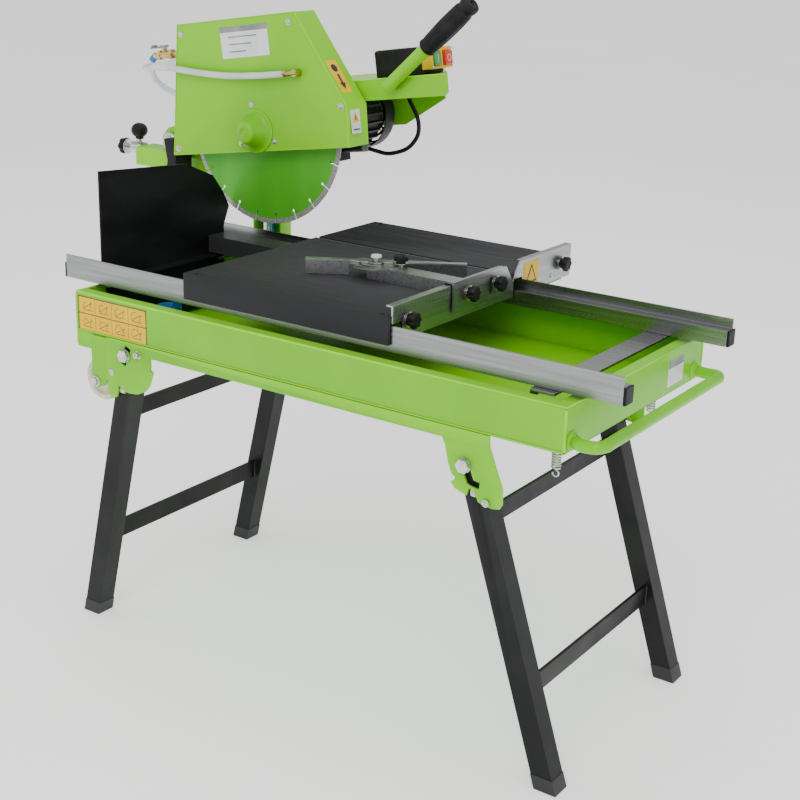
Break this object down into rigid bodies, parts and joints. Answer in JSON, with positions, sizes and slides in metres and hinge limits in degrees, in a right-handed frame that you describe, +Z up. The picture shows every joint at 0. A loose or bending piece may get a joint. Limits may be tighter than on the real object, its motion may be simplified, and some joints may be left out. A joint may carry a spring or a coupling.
{
  "type": "wet tile saw",
  "caption": "Wet saw for tile and stone: water tub on folding legs, rolling table with fence and mitre gauge, and a tilting head with motor, blade, guard and water feed.",
  "frame": {"origin": "on the floor, at the centre of the footprint box of the whole saw", "axes": "+Z up, +X along the tub towards the operator and the carry handle, -Y the long side with the mitre gauge and front leg plate"},
  "size_m": [1.3776, 0.751, 1.129],
  "materials": {
    "green_paint": "gloss powder coat",
    "black_steel": "satin black enamel",
    "bright_steel": "zinc plated and brushed",
    "aluminium": "mill finish",
    "black_rubber": "matt",
    "pump_blue": "moulded",
    "wheel_cream": "moulded",
    "blade_green": "painted blade core with bare segments",
    "switch_yellow": "moulded",
    "button_green": "moulded",
    "button_red": "moulded",
    "brass": "turned",
    "clear_hose": "clear vinyl"
  },
  "bodies": {
    "base": {"water_tub": "green_paint", "front_leg_plate": "green_paint", "rear_leg_plate": "green_paint", "carry_handle": "green_paint", "front_rail": "bright_steel", "rear_rail": "bright_steel", "rail_cap_front": "black_rubber", "rail_cap_rear": "black_rubber", "rail_tie_right": "bright_steel", "water_pump": "pump_blue", "splash_sheet": "black_rubber", "splash_beam": "black_steel", "column": "green_paint", "pivot_arm": "green_paint", "pivot_shaft": "bright_steel", "stop_cylinder": "bright_steel"},
    "stop_knob": {"stop_star_knob": "black_rubber"},
    "lock_knob": {"lock_ball_knob": "black_rubber"},
    "wheel_f": {"transport_wheel_front": "wheel_cream"},
    "wheel_r": {"transport_wheel_rear": "wheel_cream"},
    "left_legs": {"left_leg_frame": "black_steel", "left_pivot_bolt_front": "bright_steel", "left_pivot_bolt_rear": "bright_steel"},
    "right_legs": {"right_leg_frame": "black_steel", "right_pivot_bolt_front": "bright_steel", "right_pivot_bolt_rear": "bright_steel"},
    "table": {"table_top": "black_steel", "fence": "aluminium"},
    "roller_fl": {"roller_front_left": "bright_steel"},
    "roller_rl": {"roller_rear_left": "bright_steel"},
    "roller_fr": {"roller_front_right": "bright_steel"},
    "roller_rr": {"roller_rear_right": "bright_steel"},
    "fknob_f": {"fence_knob_front": "black_rubber"},
    "fknob_r": {"fence_knob_rear": "black_rubber"},
    "gauge": {"gauge_arm": "aluminium"},
    "cknob_f": {"clamp_knob_front": "black_rubber"},
    "cknob_r": {"clamp_knob_rear": "black_rubber"},
    "gknob": {"gauge_knob": "black_rubber"},
    "rule": {"gauge_rule": "aluminium"},
    "head": {"blade_guard": "green_paint", "hub_cover": "green_paint", "motor_housing": "black_steel", "motor_fan_cover": "black_rubber", "swing_arm": "green_paint", "switch_box": "black_steel", "switch_housing": "switch_yellow", "feed_handle": "green_paint", "handle_grip": "black_rubber", "water_valve": "brass", "front_nozzle": "brass", "splash_flap": "black_rubber", "motor_lead": "black_rubber", "front_hose": "clear_hose"},
    "cutter": {"blade": "blade_green", "outer_flange": "bright_steel", "spindle": "bright_steel", "motor_rotor": "bright_steel"},
    "start": {"start_button": "button_green"},
    "stop": {"stop_button": "button_red"},
    "lever": {"valve_lever": "aluminium"}
  },
  "joints": [
    {"name": "table_slide", "type": "slide", "parent": "base", "child": "table", "axis": [1, 0, 0], "range_m": [-0.19, 0.38]},
    {"name": "head_tilt", "type": "hinge", "parent": "base", "child": "head", "pos_m": [-0.51075, 0.0705, 0.808], "axis": [0, 1, 0], "range_deg": [-6, 16], "stiffness_Nm_per_rad": 60, "springref_deg": -68.75},
    {"name": "blade_spin", "type": "hinge", "parent": "head", "child": "cutter", "pos_m": [-0.24537, 0.0335, 0.86553], "axis": [0, 1, 0], "continuous": true},
    {"name": "left_leg_fold", "type": "hinge", "parent": "base", "child": "left_legs", "pos_m": [-0.22375, -0.1295, 0.527], "axis": [0, -1, 0], "range_deg": [0, 102]},
    {"name": "right_leg_fold", "type": "hinge", "parent": "base", "child": "right_legs", "pos_m": [0.46125, -0.1295, 0.497], "axis": [0, 1, 0], "range_deg": [0, 101]},
    {"name": "wheel_spin_front", "type": "hinge", "parent": "base", "child": "wheel_f", "pos_m": [-0.29675, -0.3415, 0.4665], "axis": [0, 1, 0], "continuous": true},
    {"name": "wheel_spin_rear", "type": "hinge", "parent": "base", "child": "wheel_r", "pos_m": [-0.29675, 0.0825, 0.4665], "axis": [0, 1, 0], "continuous": true},
    {"name": "stop_knob_turn", "type": "hinge", "parent": "base", "child": "stop_knob", "pos_m": [-0.66575, 0.1055, 0.777], "axis": [1, 0, 0], "range_deg": [-360, 360]},
    {"name": "lock_knob_turn", "type": "hinge", "parent": "base", "child": "lock_knob", "pos_m": [-0.63975, 0.1055, 0.8], "axis": [0, 0, 1], "range_deg": [-180, 180]},
    {"name": "fence_knob_front_turn", "type": "hinge", "parent": "table", "child": "fknob_f", "pos_m": [0.30425, -0.2795, 0.669], "axis": [1, 0, 0], "range_deg": [-360, 360]},
    {"name": "fence_knob_rear_turn", "type": "hinge", "parent": "table", "child": "fknob_r", "pos_m": [0.30425, 0.2035, 0.669], "axis": [1, 0, 0], "range_deg": [-360, 360]},
    {"name": "gauge_slide", "type": "slide", "parent": "table", "child": "gauge", "axis": [0, 1, 0], "range_m": [-0.095, 0.05]},
    {"name": "gauge_swing", "type": "hinge", "parent": "gauge", "child": "rule", "pos_m": [0.13725, -0.1435, 0.7], "axis": [0, 0, 1], "range_deg": [0, 38]},
    {"name": "gauge_knob_turn", "type": "hinge", "parent": "gauge", "child": "gknob", "pos_m": [0.17725, -0.1295, 0.714], "axis": [0, 0, 1], "range_deg": [-180, 180]},
    {"name": "clamp_knob_front_turn", "type": "hinge", "parent": "gauge", "child": "cknob_f", "pos_m": [0.30925, -0.1155, 0.679], "axis": [1, 0, 0], "range_deg": [-360, 360]},
    {"name": "clamp_knob_rear_turn", "type": "hinge", "parent": "gauge", "child": "cknob_r", "pos_m": [0.30925, -0.0295, 0.679], "axis": [1, 0, 0], "range_deg": [-360, 360]},
    {"name": "start_press", "type": "slide", "parent": "head", "child": "start", "axis": [-0.9888, 0, -0.1495], "range_m": [0, 0.0035], "stiffness_N_per_m": 300},
    {"name": "stop_press", "type": "slide", "parent": "head", "child": "stop", "axis": [-0.9888, 0, -0.1495], "range_m": [0, 0.0035], "stiffness_N_per_m": 300},
    {"name": "valve_turn", "type": "hinge", "parent": "head", "child": "lever", "pos_m": [-0.53797, 0.0765, 0.98795], "axis": [-0.1495, 0, 0.9888], "range_deg": [0, 90]},
    {"name": "roller_spin_fl", "type": "hinge", "parent": "table", "child": "roller_fl", "pos_m": [-0.07575, -0.3085, 0.664], "axis": [0, 1, 0], "range_deg": [-945, 1875]},
    {"name": "roller_spin_rl", "type": "hinge", "parent": "table", "child": "roller_rl", "pos_m": [-0.07575, 0.0495, 0.664], "axis": [0, 1, 0], "range_deg": [-945, 1875]},
    {"name": "roller_spin_fr", "type": "hinge", "parent": "table", "child": "roller_fr", "pos_m": [0.24425, -0.3085, 0.664], "axis": [0, 1, 0], "range_deg": [-945, 1875]},
    {"name": "roller_spin_rr", "type": "hinge", "parent": "table", "child": "roller_rr", "pos_m": [0.24425, 0.0495, 0.664], "axis": [0, 1, 0], "range_deg": [-945, 1875]}
  ],
  "couplings": [
    {"joint": "roller_spin_fl", "follows": "table_slide", "rad_per_m": 85.47},
    {"joint": "roller_spin_rl", "follows": "table_slide", "rad_per_m": 85.47},
    {"joint": "roller_spin_fr", "follows": "table_slide", "rad_per_m": 85.47},
    {"joint": "roller_spin_rr", "follows": "table_slide", "rad_per_m": 85.47}
  ]
}
